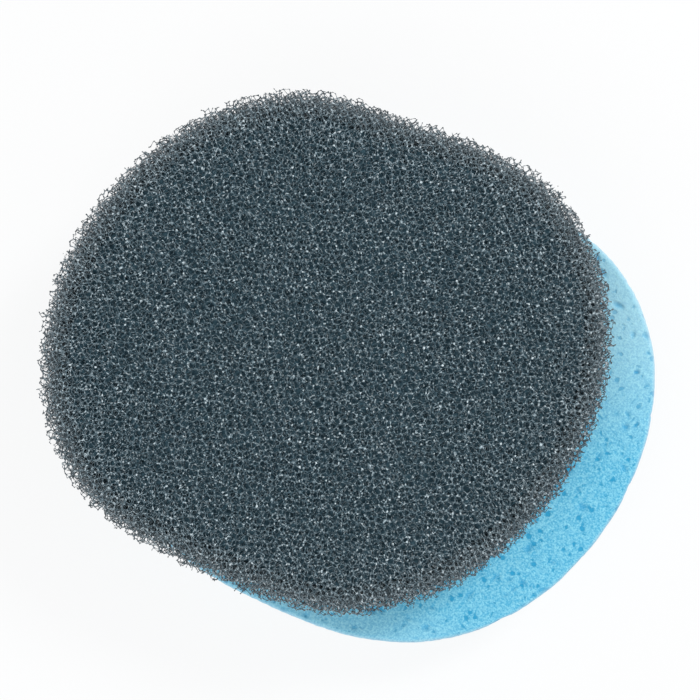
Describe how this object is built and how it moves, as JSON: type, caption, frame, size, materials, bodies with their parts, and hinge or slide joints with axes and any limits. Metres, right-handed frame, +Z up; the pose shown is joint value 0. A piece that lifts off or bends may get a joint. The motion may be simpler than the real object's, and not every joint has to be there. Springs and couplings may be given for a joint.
{
  "type": "foam filter pad set",
  "caption": "Coarse open-cell foam pad lying loose, slid aside, on a fine-cell foam pad of the same rounded outline; filter media for a canister filter.",
  "frame": {"origin": "on the resting surface, midway between the centres of the two pads", "axes": "+Z up through the stack, +X along the longer way of the pads' outline, towards the side where the fine pad shows"},
  "size_m": [0.165, 0.1378, 0.0503],
  "materials": {
    "fine_foam": "matte",
    "coarse_foam": "matte"
  },
  "bodies": {
    "fine_pad": {"fine_pad": "fine_foam"},
    "coarse_pad": {"coarse_pad": "coarse_foam"}
  },
  "joints": [
    {"name": "coarse_pad_lift", "type": "slide", "parent": "fine_pad", "child": "coarse_pad", "axis": [0, 0, 1], "range_m": [0, 0.06]}
  ]
}
